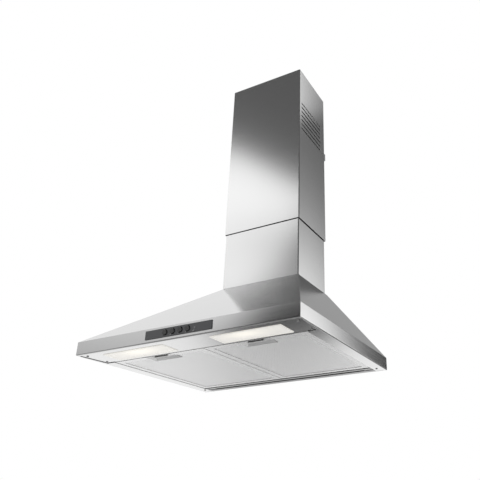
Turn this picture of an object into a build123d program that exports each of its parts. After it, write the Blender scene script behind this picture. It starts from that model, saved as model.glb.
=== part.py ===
from build123d import *
import os
from math import cos, radians, sin

# Wall-mounted chimney range hood, in millimetres.
# X = 0 is the middle of the hood, Y = 0 is the wall and the front faces -Y,
# Z = 0 is the lower edge of the rim and Z points up.

# Sheet and gaps
sheet = 1.0  # stainless outer sheet
plate = 1.2  # galvanised inner sheet
bend_radius = 2.5  # outside of the stainless sheet's folds
seam = 0.5  # joint between neighbouring sheets
rest_gap = 0.3  # between a moving piece and what it rests on
slide_gap = 0.1  # radial, a stem or a pin in its bore

# Canopy
canopy_width = 600.0
canopy_depth = 500.0
rim_height = 33.0
slope_height = 215.0
front_flange = 8.0  # folded in under the front of the rim
side_strip = 31.0  # folded in under each side of the rim
strip_lip = 8.0  # turned up along the inner edge of each side strip
top_flange = 8.0  # folded in around the canopy's top opening
rear_flange = 12.0  # folded in along the canopy's rear edges

# Chimney
lower_width = 249.0
lower_depth = 169.0
lower_length = 452.0
lower_standoff = 14.0  # wall to the rear edge of the lower section
foot_width = 7.0  # folded in at the foot of the lower section
telescope_gap = 2.0
upper_length = 551.0
upper_standoff = 9.0
hood_height = 975.0  # the chimney pulled out
chimney_return = 15.0  # folded in along the rear edges of both sections
guide_width = 16.0
guide_height = 12.0
guide_wall = 1.0
guide_inset = 30.0  # chimney's front corners to the first guides
guide_pitch = 80.0

vent_count = 7
vent_pitch = 16.2
vent_length = 135.0
vent_height = 5.0
vent_drop = 130.0  # chimney top to the first slot
vent_setback = 12.5  # chimney front to the slots

# Vent shields, an L on each side behind the slots
shield_inset = 7.5  # chimney side to the shield's inner face
shield_wall = 2.0
shield_gap = 4.0  # chimney front to the shield
shield_margin = 8.0  # above and below the slots
shield_setback = 23.0  # wall to the rear leg
shield_leg = 70.0
shield_foot_width = 20.0
shield_foot_height = 22.0

# Chimney bracket
strap_sheet = 1.5
strap_height = 25.0
strap_drop = 231.0  # chimney top to the middle of the strap
ear_depth = 40.0
ear_sheet = 1.2
ear_screw_setback = 24.0  # wall to the side screws
wall_screw_spacing = 120.0
wall_screw_hole = 6.0

# Back plate
keyhole_spacing = 220.0
keyhole_height = 172.0
keyhole_head = 10.0
keyhole_slot = 5.5
keyhole_rise = 12.0
safety_spacing = 420.0
safety_height = 50.0
safety_hole = 6.0

# Light panel and lamps
panel_rise = 1.5  # rim edge to the lower face of the panel
panel_depth = 82.0
panel_taper = 7.5  # each end runs in by this much towards the back
panel_fold = 12.0
lamp_spacing = 305.0
lamp_length = 174.0
lamp_width = 54.0
lamp_setback = 54.0  # rim front to the middle of the lamps
cover_lap = 2.0  # the cover's border past its opening
cover_border = 5.0
cover_height = 1.1
cover_skirt = 3.0
lamp_box_height = 38.0
lamp_box_wall = 1.0
lamp_box_flange = 5.0
cooling_slots = 5
cooling_pitch = 12.5
cooling_length = 27.0
cooling_width = 4.0
box_draft = 3.0  # degrees, the lamp box's walls
bulb_diameter = 25.0
bulb_length = 85.0
bulb_cap_diameter = 14.0
bulb_cap_length = 18.0
bulb_height = 21.0
holder_diameter = 24.0
holder_length = 26.0
ledge_width = 24.0
ledge_height = 16.0
panel_screw_inset = 16.0  # canopy side to the screws
panel_screw_front = 20.5  # rim front to the first pair
panel_screw_pitch = 60.5

# Controls
fascia_width = 180.0
fascia_height = 20.0
fascia_low = 8.0  # rim edge to the fascia's lower edge
fascia_proud = 2.4
fascia_boss_width = 112.0
fascia_boss_height = 16.0
fascia_boss_depth = 3.0
button_count = 4
button_pitch = 20.5
button_first = -34.5
button_diameter = 13.0
button_hole = 14.4
button_proud = 2.6
button_length = 4.4
button_travel = 2.5
button_edge = 0.8
stem_diameter = 6.0
stem_length = 12.0
switch_depth = 20.0
switch_corner = 1.5
tab_sheet = 0.8  # push-on terminals
tab_width = 6.3
tab_length = 8.0
tab_spacing = 10.0

# Filters
filter_rise = 0.8  # rim edge to the lower face of a filter
filter_height = 9.0
filter_sheet = 0.8
filter_border = 16.0
filter_corner = 2.0
filter_top_border = 8.0
divider_gap = 2.0
mesh_height = 5.4
hook_width = 20.0
hook_pitch = 160.0
hook_sheet = 1.0
rod_radius = 1.0
rod_setback = 41.0  # wall to the rail's rod, about which the filters swing
rod_height = 5.0
hook_reach = 6.0  # rod to the filter's rear wall
pocket_offset = 133.0  # middle of the hood to the middle of a pocket
pocket_width = 81.0
pocket_depth = 40.0
pocket_draft = 5.0
pocket_height = 6.0
grip_width = 40.0
grip_setback = 10.0  # filter front to the grip
grip_sheet = 1.6
latch_travel = 6.0
latch_height = 1.6
latch_width = 36.0
latch_length = 30.0

# Rear rail
rail_channel_front = 10.0  # rod to the raised channel
rail_channel_width = 14.0
rail_channel_height = 3.0
rail_fold = 14.0
rail_tab = 26.0
rail_tab_depth = 33.0
rail_screw_inset = 20.0
rail_screw_setback = 28.0

# Blower
wheel_radius = 72.0
wheel_width = 112.0
blade_count = 36
blade_depth = 12.0
blade_sheet = 1.2
blade_arc_radius = 13.5
blade_lead = 6.0  # degrees, root to tip
wheel_disc = 2.0
wheel_ring = 2.5
hub_radius = 14.0
hub_length = 12.0
shaft_radius = 4.0
scroll_wall = 2.0
scroll_start = 84.0  # radius of the volute's first quarter
scroll_step = 8.0  # growth of the radius at each quarter
scroll_side_gap = 4.0
scroll_rim = 8.0  # joint flange around the two halves
scroll_rim_sheet = 2.0
cutoff_offset = 21.0
outlet_rise = 92.0  # shaft to the top of the housing
blower_height = 130.0  # rim edge to the shaft
blower_setback = 135.0  # wall to the shaft
inlet_radius = 52.0
inlet_lip = 6.0
motor_radius = 42.0
motor_edge = 3.0
motor_slots = 8
motor_slot_ring = 28.0  # radius to the middle of the slots
motor_slot_length = 14.0
motor_slot_width = 3.0
hub_to_motor = 2.0
shaft_overhang = 2.0
shaft_end_gap = 6.0
shaft_gap = 0.05  # radial, the shaft in the motor's bearings
press_gap = 0.02  # radial, the hub on its shaft
motor_arm_width = 12.0
motor_arm_sheet = 3.0
motor_arm_reach = 60.0
motor_plate_radius = 34.0
motor_plate_hole = 21.0
inlet_screw_radius = 56.0
guard_sheet = 2.0
guard_ring = 2.5
guard_rings = 3
guard_spokes = 6
bracket_low = 140.0
bracket_height = 62.0
bracket_foot = 18.0
bracket_screw_inset = 12.0
bracket_screw_offset = 41.0  # middle of the hood to the screws into the housing

# Outlet
adapter_wall = 1.5
adapter_flange = 5.0
adapter_rise = 47.0  # housing top to the foot of the collar
collar_radius = 74.5
collar_height = 42.0
flap_sheet = 1.0
flap_height = 12.0  # foot of the collar to the flaps' pin
flap_ledge = 3.0
flap_pin_radius = 1.5
knuckle_radius = 3.0
knuckle_length = 14.0
knuckle_inner = 20.0
knuckle_outer = 44.0

# Electrics
terminal_width = 70.0
terminal_height = 50.0
terminal_depth = 26.0
terminal_wall = 2.0
terminal_low = 100.0
terminal_offset = 115.0
gland_offset = 92.0
gland_setback = 17.0  # wall to the gland's axis
gland_bore = 4.0
gland_radius = 8.0
gland_height = 18.0
gland_nut_radius = 11.0
gland_nut_height = 6.0
capacitor_radius = 15.0
capacitor_height = 52.0
capacitor_low = 96.0
capacitor_offset = 130.0
clip_sheet = 1.0
clip_height = 14.0
clip_mouth = 9.0  # capacitor's axis to the clip's open side

# Fasteners
small_screw = 1.5  # shank radius
large_screw = 2.3
head_ratio = 1.8  # head radius over shank radius
head_height = 1.4

# Derived places
canopy_top = rim_height + slope_height
top_depth = lower_standoff + lower_depth
slope_in = (canopy_width - lower_width) / 2 / slope_height
upper_width = lower_width + 2 * (telescope_gap + sheet)
upper_front = top_depth + telescope_gap + sheet
upper_bottom = hood_height - upper_length
strap_middle = hood_height - strap_drop
vent_reach = vent_pitch * (vent_count - 1) / 2  # middle slot to the outermost ones
vent_middle = hood_height - vent_drop - vent_reach
shield_height = 2 * vent_reach + vent_height + 2 * shield_margin
shield_low = vent_middle - shield_height / 2

panel_front = canopy_depth - front_flange - seam
panel_back = panel_front - panel_depth
panel_half_front = canopy_width / 2 - sheet - 2 * seam
panel_half_back = panel_half_front - panel_taper
panel_top = panel_rise + sheet
lamp_middle = canopy_depth - lamp_setback

filter_front = panel_back - 3 * seam
filter_back = rod_setback + hook_reach
filter_inner = divider_gap / 2
filter_outer = canopy_width / 2 - side_strip - seam
filter_middle = (filter_inner + filter_outer) / 2
filter_top = filter_rise + filter_height
pocket_middle = filter_front - pocket_depth / 2 - filter_sheet
grip_front = filter_front - grip_setback
latch_low = filter_rise + pocket_height + slide_gap

fascia_middle = fascia_low + fascia_height / 2
switch_front = canopy_depth - fascia_boss_depth
button_front = canopy_depth + fascia_proud + button_proud
stem_end = button_front - button_length - stem_length
switch_bore_depth = switch_front - stem_end + button_travel + rest_gap

wheel_half = wheel_width / 2
scroll_half = wheel_half + scroll_side_gap + scroll_wall
scroll_back = scroll_start + 2 * scroll_step + scroll_step / 2
housing_top = blower_height + outlet_rise
housing_back = blower_setback - scroll_back
bracket_leg = scroll_half + plate
bracket_screw_pitch = bracket_height - 2 * bracket_screw_inset
foot_screw_spacing = 2 * bracket_leg + bracket_foot
outlet_middle = lower_standoff + lower_depth / 2
collar_foot = housing_top + adapter_rise
flap_axis = collar_foot + flap_height

os.makedirs("parts", exist_ok=True)


def save(builder, name):
    builder.part.label = name
    export_step(builder.part, f"parts/{name}.step")


def corner_rectangle(low, high, mode=Mode.ADD):
    """A rectangle between two opposite corners of the sketch's plane."""
    with Locations(((low[0] + high[0]) / 2, (low[1] + high[1]) / 2)):
        Rectangle(high[0] - low[0], high[1] - low[1], mode=mode)


def wall_rectangle(width, front, back, mode=Mode.ADD):
    """A rectangle centred on X that runs from Y = -front to Y = -back."""
    corner_rectangle((-width / 2, -front), (width / 2, -back), mode)


def pan_screw(shank, length):
    """A pan-head screw along the current plane's axis, head below, shank above."""
    Cylinder(shank, length, align=(Align.CENTER, Align.CENTER, Align.MIN))
    Cylinder(
        shank * head_ratio, head_height, align=(Align.CENTER, Align.CENTER, Align.MAX)
    )


# Canopy shell
def panel_outline(margin):
    """The light panel's outline, whose ends run in towards the back."""
    Polygon(
        (-panel_half_front - margin, -panel_front - margin),
        (panel_half_front + margin, -panel_front - margin),
        (panel_half_back + margin, -panel_back),
        (-panel_half_back - margin, -panel_back),
        align=None,
    )


with BuildPart() as canopy_shell:
    with BuildSketch():
        wall_rectangle(canopy_width, canopy_depth, plate)
    extrude(amount=rim_height)
    with BuildSketch(Plane.XY.offset(rim_height)):
        wall_rectangle(canopy_width, canopy_depth, plate)
    with BuildSketch(Plane.XY.offset(canopy_top)):
        wall_rectangle(lower_width, top_depth, plate)
    loft()
    # folds along the rim's lower edges
    underside = canopy_shell.faces().sort_by(Axis.Z)[0]
    fillet(underside.edges().sort_by(Axis.Y)[:-1], bend_radius)
    offset(amount=-sheet, mode=Mode.SUBTRACT)
    # underside, open for the light panel, the filters and the rear rail
    with BuildSketch():
        panel_outline(seam)
        wall_rectangle(canopy_width - 2 * side_strip, panel_back + seam, plate)
    extrude(amount=bend_radius, mode=Mode.SUBTRACT)
    # top, open for the outlet
    with BuildSketch(Plane.XY.offset(canopy_top)):
        wall_rectangle(lower_width - 2 * top_flange, top_depth - top_flange, top_flange)
    extrude(amount=-sheet, mode=Mode.SUBTRACT)
    # back, open inside a flange that carries the back plate
    with BuildSketch(Plane.XZ.offset(plate)):
        with BuildLine():
            half_low = canopy_width / 2 - rear_flange
            half_high = lower_width / 2 - rear_flange + rear_flange * slope_in
            Polyline(
                (-half_low, -sheet),
                (half_low, -sheet),
                (half_low, rim_height),
                (half_high, canopy_top - rear_flange),
                (-half_high, canopy_top - rear_flange),
                (-half_low, rim_height),
                close=True,
            )
        make_face()
    extrude(amount=sheet, mode=Mode.SUBTRACT)
    # upright lips along the side strips
    with BuildSketch():
        for side in (-1, 1):
            edge = side * (canopy_width / 2 - side_strip)
            corner_rectangle(
                (min(edge, edge + side * sheet), -panel_back + seam),
                (max(edge, edge + side * sheet), -filter_back),
            )
    extrude(amount=sheet + strip_lip)
    # window for the controls
    with BuildSketch(Plane.XZ.offset(canopy_depth)):
        with Locations((0, fascia_middle)):
            Rectangle(fascia_boss_width + 2 * seam, fascia_boss_height + 2 * seam)
    extrude(amount=-sheet, mode=Mode.SUBTRACT)
    # holes for the rail's screws and the chimney's foot screws
    with Locations(Plane.XY.offset(sheet)):
        with Locations(
            (rail_screw_inset - canopy_width / 2, -rail_screw_setback),
            (canopy_width / 2 - rail_screw_inset, -rail_screw_setback),
        ):
            Hole(small_screw + slide_gap, depth=sheet)
    with Locations(Plane.XY.offset(canopy_top)):
        with Locations((0, -outlet_middle)):
            with GridLocations(
                lower_width - top_flange, lower_depth - 2 * chimney_return, 2, 2
            ):
                Hole(small_screw + slide_gap, depth=sheet)
save(canopy_shell, "canopy_shell")

# Back plate
with BuildPart() as back_plate:
    with BuildSketch(Plane.XZ):
        with BuildLine():
            Polyline(
                (-canopy_width / 2, 0),
                (canopy_width / 2, 0),
                (canopy_width / 2, rim_height),
                (lower_width / 2, canopy_top),
                (-lower_width / 2, canopy_top),
                (-canopy_width / 2, rim_height),
                close=True,
            )
        make_face()
        with Locations((0, keyhole_height)):
            with GridLocations(keyhole_spacing, 0, 2, 1):
                Circle(keyhole_head / 2, mode=Mode.SUBTRACT)
                SlotCenterPoint(
                    (0, keyhole_rise / 2),
                    (0, keyhole_rise),
                    keyhole_slot,
                    mode=Mode.SUBTRACT,
                )
                Rectangle(
                    keyhole_slot,
                    keyhole_rise,
                    align=(Align.CENTER, Align.MIN),
                    mode=Mode.SUBTRACT,
                )
        with Locations((0, safety_height)):
            with GridLocations(safety_spacing, 0, 2, 1):
                Circle(safety_hole / 2, mode=Mode.SUBTRACT)
        with Locations((0, bracket_low + bracket_height / 2)):
            with GridLocations(foot_screw_spacing, bracket_screw_pitch, 2, 2):
                Circle(large_screw + slide_gap, mode=Mode.SUBTRACT)
    extrude(amount=plate)
save(back_plate, "back_plate")

# Rear rail
rail_half = canopy_width / 2 - side_strip - seam
channel_front = rod_setback - rail_channel_front
channel_back = channel_front - rail_channel_width

with BuildPart() as rear_rail:
    with BuildSketch(Plane.YZ.offset(-rail_half)):
        with Locations((-rod_setback, rod_height)):
            Circle(rod_radius)
        corner_rectangle(
            (-rod_setback - sheet / 2, 0), (-rod_setback + sheet / 2, rod_height)
        )
        corner_rectangle((-rod_setback, 0), (-channel_front + sheet, sheet))
        corner_rectangle(
            (-channel_front, 0), (-channel_front + sheet, rail_channel_height + sheet)
        )
        corner_rectangle(
            (-channel_front, rail_channel_height),
            (-channel_back, rail_channel_height + sheet),
        )
        corner_rectangle(
            (-channel_back - sheet, 0), (-channel_back, rail_channel_height + sheet)
        )
        corner_rectangle((-channel_back - sheet, 0), (-plate, sheet))
        corner_rectangle((-plate - sheet, 0), (-plate, rail_fold))
    extrude(amount=2 * rail_half)
    # end tabs, screwed down on the side strips
    with BuildSketch(Plane.XY.offset(sheet)):
        for side in (-1, 1):
            with Locations((side * rail_half, -rod_setback / 2)):
                Rectangle(2 * rail_tab, rail_tab_depth)
    extrude(amount=sheet)
    with Locations(Plane.XY.offset(2 * sheet)):
        with Locations(
            (rail_screw_inset - canopy_width / 2, -rail_screw_setback),
            (canopy_width / 2 - rail_screw_inset, -rail_screw_setback),
        ):
            Hole(small_screw + slide_gap, depth=sheet)
save(rear_rail, "rear_rail")

# Light panel
with BuildPart() as light_panel:
    with BuildSketch(Plane.XY.offset(panel_rise)):
        panel_outline(0)
        with Locations((0, -lamp_middle)):
            with GridLocations(lamp_spacing, 0, 2, 1):
                Rectangle(lamp_length, lamp_width, mode=Mode.SUBTRACT)
    extrude(amount=sheet)
    with BuildSketch(Plane.XY.offset(panel_rise)):
        fold_half = panel_half_back - ledge_width
        corner_rectangle((-fold_half, -panel_front), (fold_half, sheet - panel_front))
        with Locations((0, -panel_front)):
            Rectangle(
                fascia_boss_width + 4 * seam,
                2 * sheet,
                align=(Align.CENTER, Align.CENTER),
                mode=Mode.SUBTRACT,
            )
        corner_rectangle((-fold_half, -panel_back - sheet), (fold_half, -panel_back))
    extrude(amount=panel_fold)
    # catch slots for the filter latches
    with BuildSketch(Plane.XZ.offset(panel_back)):
        with Locations((0, latch_low + latch_height / 2)):
            with GridLocations(2 * pocket_offset, 0, 2, 1):
                Rectangle(latch_width + 4 * seam, latch_height + 2 * seam)
    extrude(amount=sheet, mode=Mode.SUBTRACT)
    with Locations(Plane.XY.offset(panel_top)):
        with Locations(
            (0, -canopy_depth + panel_screw_front + panel_screw_pitch / 2)
        ):
            with GridLocations(
                canopy_width - 2 * panel_screw_inset, panel_screw_pitch, 2, 2
            ):
                Hole(small_screw + slide_gap, depth=sheet)
save(light_panel, "light_panel")


# L-shaped ledges on the rim's inner sides, above the panel's ends
def panel_ledge(side):
    wall = canopy_width / 2 - sheet
    with BuildPart() as ledge:
        with BuildSketch(Plane.XZ.offset(panel_back + sheet)):
            corner_rectangle((wall - plate, panel_top), (wall, panel_top + ledge_height))
            corner_rectangle(
                (wall - ledge_width, panel_top), (wall, panel_top + plate)
            )
        extrude(amount=panel_depth - 2 * sheet)
        with Locations(Plane.XY.offset(panel_top + plate)):
            with Locations(
                (
                    canopy_width / 2 - panel_screw_inset,
                    -canopy_depth + panel_screw_front + panel_screw_pitch / 2,
                )
            ):
                with GridLocations(0, panel_screw_pitch, 1, 2):
                    Hole(small_screw + slide_gap, depth=plate)
        if side < 0:
            mirror(about=Plane.YZ, mode=Mode.REPLACE)
    return ledge


for side, word in ((-1, "left"), (1, "right")):
    save(panel_ledge(side), f"panel_ledge_{word}")


# Lamps
def lamp_cover(side):
    with BuildPart() as cover:
        with Locations((side * lamp_spacing / 2, -lamp_middle, panel_rise - cover_height)):
            Box(
                lamp_length + 2 * cover_lap,
                lamp_width + 2 * cover_lap,
                cover_height,
                align=(Align.CENTER, Align.CENTER, Align.MIN),
            )
        fillet(cover.edges().filter_by(Axis.Z), cover_lap)
        chamfer(cover.faces().sort_by(Axis.Z)[0].edges(), cover_height / 3)
        # skirt that clips into the panel's opening
        with BuildSketch(Plane.XY.offset(panel_rise - cover_height)):
            with Locations((side * lamp_spacing / 2, -lamp_middle)):
                Rectangle(lamp_length - 2 * seam, lamp_width - 2 * seam)
        extrude(amount=cover_height + cover_skirt)
        with BuildSketch(Plane.XY.offset(panel_rise)):
            with Locations((side * lamp_spacing / 2, -lamp_middle)):
                Rectangle(
                    lamp_length - 2 * seam - 2 * cover_height,
                    lamp_width - 2 * seam - 2 * cover_height,
                )
        extrude(amount=cover_skirt, mode=Mode.SUBTRACT)
        # the lens lies a little higher than its border
        with BuildSketch(Plane.XY.offset(panel_rise - cover_height)):
            with Locations((side * lamp_spacing / 2, -lamp_middle)):
                RectangleRounded(
                    lamp_length + 2 * cover_lap - 2 * cover_border,
                    lamp_width + 2 * cover_lap - 2 * cover_border,
                    cover_lap,
                )
        extrude(amount=cover_height / 3, mode=Mode.SUBTRACT)
    return cover


def lamp_box(side):
    with BuildPart() as box:
        with BuildSketch(Plane.XY.offset(panel_top)):
            with Locations((side * lamp_spacing / 2, -lamp_middle)):
                Rectangle(
                    lamp_length + 2 * lamp_box_wall + 2 * lamp_box_flange,
                    lamp_width + 2 * lamp_box_wall + 2 * lamp_box_flange,
                )
        extrude(amount=lamp_box_wall)
        with BuildSketch(Plane.XY.offset(panel_top)):
            with Locations((side * lamp_spacing / 2, -lamp_middle)):
                Rectangle(lamp_length + 2 * lamp_box_wall, lamp_width + 2 * lamp_box_wall)
        extrude(amount=lamp_box_height, taper=box_draft)
        with BuildSketch(Plane.XY.offset(panel_top)):
            with Locations((side * lamp_spacing / 2, -lamp_middle)):
                Rectangle(lamp_length, lamp_width)
        extrude(amount=lamp_box_height - lamp_box_wall, taper=box_draft, mode=Mode.SUBTRACT)
        # cooling slots in the roof
        with BuildSketch(Plane.XY.offset(panel_top + lamp_box_height)):
            with Locations((side * lamp_spacing / 2, -lamp_middle)):
                with GridLocations(cooling_pitch, 0, cooling_slots, 1):
                    SlotOverall(cooling_length, cooling_width, rotation=90)
        extrude(amount=-lamp_box_wall, mode=Mode.SUBTRACT)
    return box


def holder_plane(side):
    """Foot of the holder, clear of the lamp box's sloping end, looking along the bulb."""
    slope = sin(radians(box_draft)) / cos(radians(box_draft))
    taper_in = (bulb_height + holder_diameter / 2 - panel_top) * slope
    foot_x = side * (lamp_spacing / 2 + lamp_length / 2 - taper_in - slide_gap)
    return Plane((foot_x, -lamp_middle, bulb_height), z_dir=(-side, 0, 0))


def lampholder(side):
    foot = holder_plane(side)
    with BuildPart() as holder:
        with BuildSketch(foot):
            Circle(holder_diameter / 2)
        extrude(amount=holder_length)
        with BuildSketch(foot.offset(holder_length)):
            Circle(bulb_cap_diameter / 2 + rest_gap)
        extrude(amount=-bulb_cap_length, mode=Mode.SUBTRACT)
        chamfer(holder.edges().group_by(Axis.X)[-1 if side < 0 else 0], 1)
    return holder


def bulb(side):
    """Tubular lamp: a screw cap, a short neck and a round-ended glass tube."""
    foot = holder_plane(side).offset(holder_length - bulb_cap_length + rest_gap)
    axis_plane = Plane(foot.origin, x_dir=(-side, 0, 0), z_dir=(0, -1, 0))
    cap = bulb_cap_diameter / 2
    glass = bulb_diameter / 2
    with BuildPart() as lamp:
        with BuildSketch(axis_plane):
            with BuildLine():
                Polyline(
                    (bulb_length, 0),
                    (0, 0),
                    (0, cap - 1),
                    (1, cap),
                    (bulb_cap_length, cap),
                    (bulb_cap_length + glass / 2, glass),
                    (bulb_length - glass, glass),
                )
                RadiusArc((bulb_length - glass, glass), (bulb_length, 0), glass)
            make_face()
        revolve(axis=Axis(axis_plane.origin, axis_plane.x_dir))
    return lamp


for side, word in ((-1, "left"), (1, "right")):
    save(lamp_cover(side), f"lamp_cover_{word}")
    save(lamp_box(side), f"lamp_box_{word}")
    save(lampholder(side), f"lampholder_{word}")
    save(bulb(side), f"bulb_{word}")

# Controls
button_places = [
    (button_first + index * button_pitch, fascia_middle) for index in range(button_count)
]

with BuildPart() as control_fascia:
    with BuildSketch(Plane.XZ.offset(canopy_depth)):
        with Locations((0, fascia_middle)):
            Rectangle(fascia_width, fascia_height)
    extrude(amount=fascia_proud)
    chamfer(control_fascia.faces().sort_by(Axis.Y)[0].edges(), fascia_proud / 4)
    with BuildSketch(Plane.XZ.offset(switch_front)):
        with Locations((0, fascia_middle)):
            Rectangle(fascia_boss_width, fascia_boss_height)
    extrude(amount=fascia_boss_depth)
    with BuildSketch(Plane.XZ.offset(switch_front)):
        with Locations(*button_places):
            Circle(button_hole / 2)
    extrude(amount=fascia_boss_depth + fascia_proud, mode=Mode.SUBTRACT)
save(control_fascia, "control_fascia")

with BuildPart() as switch_block:
    with BuildSketch(Plane.XZ.offset(switch_front - switch_depth)):
        with Locations((0, fascia_middle)):
            Rectangle(fascia_boss_width, fascia_boss_height)
    extrude(amount=switch_depth)
    fillet(switch_block.edges().filter_by(Axis.Y), switch_corner)
    with BuildSketch(Plane.XZ.offset(switch_front)):
        with Locations(*button_places):
            Circle(stem_diameter / 2 + slide_gap)
    extrude(amount=-switch_bore_depth, mode=Mode.SUBTRACT)
    # terminals on the back
    with BuildSketch(Plane.XZ.offset(switch_front - switch_depth)):
        with Locations(*button_places):
            with GridLocations(tab_spacing, 0, 2, 1):
                Rectangle(tab_sheet, tab_width)
    extrude(amount=-tab_length)
save(switch_block, "switch_block")


def push_button(place):
    with BuildPart() as button:
        with BuildSketch(Plane.XZ.offset(button_front)):
            with Locations(place):
                Circle(button_diameter / 2)
        extrude(amount=-button_length)
        chamfer(button.faces().sort_by(Axis.Y)[0].edges(), button_edge)
        with BuildSketch(Plane.XZ.offset(button_front - button_length)):
            with Locations(place):
                Circle(stem_diameter / 2)
        extrude(amount=-stem_length)
    return button


for index, place in enumerate(button_places):
    save(push_button(place), f"push_button_{index + 1}")


# Filters
def filter_rectangle(side, margin, front_margin=None):
    """The filter's outline taken in by a margin."""
    front_margin = margin if front_margin is None else front_margin
    near, far = side * (filter_inner + margin), side * (filter_outer - margin)
    corner_rectangle(
        (min(near, far), front_margin - filter_front),
        (max(near, far), -filter_back - margin),
    )


def pocket_rectangle(side, margin):
    with Locations((side * pocket_offset, -pocket_middle)):
        Rectangle(pocket_width + 2 * margin, pocket_depth + 2 * margin)


def hook_section(middle):
    """Section of a rear hook, which runs over the rail's rod and curls down behind it."""
    inside = rod_radius + rest_gap
    outside = inside + hook_sheet
    with BuildSketch(Plane.YZ.offset(middle - hook_width / 2)) as section:
        with Locations((-rod_setback, rod_height)):
            Circle(outside)
            Circle(inside, mode=Mode.SUBTRACT)
            Rectangle(
                outside,
                2 * outside,
                align=(Align.MAX, Align.CENTER),
                mode=Mode.SUBTRACT,
            )
            Rectangle(
                outside, outside, align=(Align.MIN, Align.MAX), mode=Mode.SUBTRACT
            )
        corner_rectangle(
            (-filter_back - filter_sheet, rod_height + inside),
            (-rod_setback, rod_height + outside),
        )
    return section.sketch


def filter_frame(side):
    with BuildPart() as frame:
        with BuildSketch(Plane.XY.offset(filter_rise)):
            filter_rectangle(side, 0)
        extrude(amount=filter_height)
        fillet(frame.edges().filter_by(Axis.Z), filter_corner)
        with BuildSketch(Plane.XY.offset(filter_rise + filter_sheet)):
            filter_rectangle(side, filter_sheet)
        extrude(amount=filter_height - 2 * filter_sheet, mode=Mode.SUBTRACT)
        with BuildSketch(Plane.XY.offset(filter_rise)):
            filter_rectangle(side, filter_border)
            pocket_rectangle(side, seam)
        extrude(amount=filter_sheet, mode=Mode.SUBTRACT)
        with BuildSketch(Plane.XY.offset(filter_top)):
            filter_rectangle(side, filter_top_border)
            pocket_rectangle(side, seam)
        extrude(amount=-filter_sheet, mode=Mode.SUBTRACT)
        # slot in the front wall for the latch
        with BuildSketch(Plane.XZ.offset(filter_front)):
            with Locations((side * pocket_offset, latch_low + latch_height / 2)):
                Rectangle(latch_width + 2 * seam, latch_height + 2 * slide_gap)
        extrude(amount=-filter_sheet, mode=Mode.SUBTRACT)
        for hook_offset in (-hook_pitch / 2, hook_pitch / 2):
            extrude(hook_section(side * filter_middle + hook_offset), amount=hook_width)
    return frame


def filter_face(side):
    """Perforated sheet that lies on the frame's lower border, open around the pocket."""
    with BuildPart() as face:
        with BuildSketch(Plane.XY.offset(filter_rise + filter_sheet)):
            filter_rectangle(side, filter_sheet + seam)
            with Locations((side * pocket_offset, -filter_front)):
                Rectangle(
                    pocket_width + 2 * seam,
                    2 * (pocket_depth + filter_sheet + seam),
                    mode=Mode.SUBTRACT,
                )
        extrude(amount=filter_sheet)
    return face


def filter_mesh(side):
    """Layers of expanded mesh, packed as one slab."""
    with BuildPart() as mesh:
        with BuildSketch(Plane.XY.offset(filter_rise + 2 * filter_sheet)):
            filter_rectangle(side, filter_sheet + seam)
            with Locations((side * pocket_offset, -filter_front)):
                Rectangle(
                    pocket_width + 4 * seam,
                    2 * (pocket_depth + latch_travel),
                    mode=Mode.SUBTRACT,
                )
        extrude(amount=mesh_height)
    return mesh


def latch_pocket(side):
    """Pressed dish with sloping walls, open below for a finger."""
    with BuildPart() as pocket:
        with BuildSketch(Plane.XY.offset(filter_rise)):
            pocket_rectangle(side, 0)
        with BuildSketch(Plane.XY.offset(filter_rise + pocket_height)):
            pocket_rectangle(side, -pocket_draft)
        loft()
        with BuildSketch(Plane.XY.offset(filter_rise)):
            pocket_rectangle(side, -filter_sheet)
        with BuildSketch(Plane.XY.offset(filter_rise + pocket_height - filter_sheet)):
            pocket_rectangle(side, -pocket_draft - filter_sheet)
        loft(mode=Mode.SUBTRACT)
        # window in which the grip slides
        with BuildSketch(Plane.XY.offset(filter_rise + pocket_height)):
            with Locations((side * pocket_offset, -grip_front)):
                Rectangle(
                    grip_width + 2 * seam,
                    grip_sheet + latch_travel + 2 * seam,
                    align=(Align.CENTER, Align.MIN),
                )
        extrude(amount=-filter_sheet, mode=Mode.SUBTRACT)
    return pocket


def filter_latch(side):
    """Sliding latch: a flat tongue over the pocket and a grip that hangs into it."""
    with BuildPart() as latch:
        with BuildSketch(Plane.XY.offset(latch_low)):
            with Locations((side * pocket_offset, seam - panel_back)):
                Rectangle(latch_width, latch_length, align=(Align.CENTER, Align.MIN))
        extrude(amount=latch_height)
        nose = latch.faces().sort_by(Axis.Y)[0].edges().sort_by(Axis.Z)[0]
        chamfer(nose, latch_height / 2)
        with BuildSketch(Plane.XY.offset(latch_low + latch_height)):
            with Locations((side * pocket_offset, seam - grip_front)):
                Rectangle(grip_width, grip_sheet, align=(Align.CENTER, Align.MIN))
        extrude(amount=-latch_height - pocket_height)
    return latch


for side, word in ((-1, "left"), (1, "right")):
    save(filter_frame(side), f"filter_frame_{word}")
    save(filter_face(side), f"filter_face_{word}")
    save(filter_mesh(side), f"filter_mesh_{word}")
    save(latch_pocket(side), f"latch_pocket_{word}")
    save(filter_latch(side), f"filter_latch_{word}")


# Blower
scroll_centres = [
    (-blower_setback - scroll_step / 2, blower_height - scroll_step / 2),
    (-blower_setback + scroll_step / 2, blower_height - scroll_step / 2),
    (-blower_setback + scroll_step / 2, blower_height + scroll_step / 2),
]
scroll_nose = -blower_setback + cutoff_offset
shaft_plane = Plane(
    (0, -blower_setback, blower_height), x_dir=(0, 1, 0), z_dir=(1, 0, 0)
)


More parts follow.
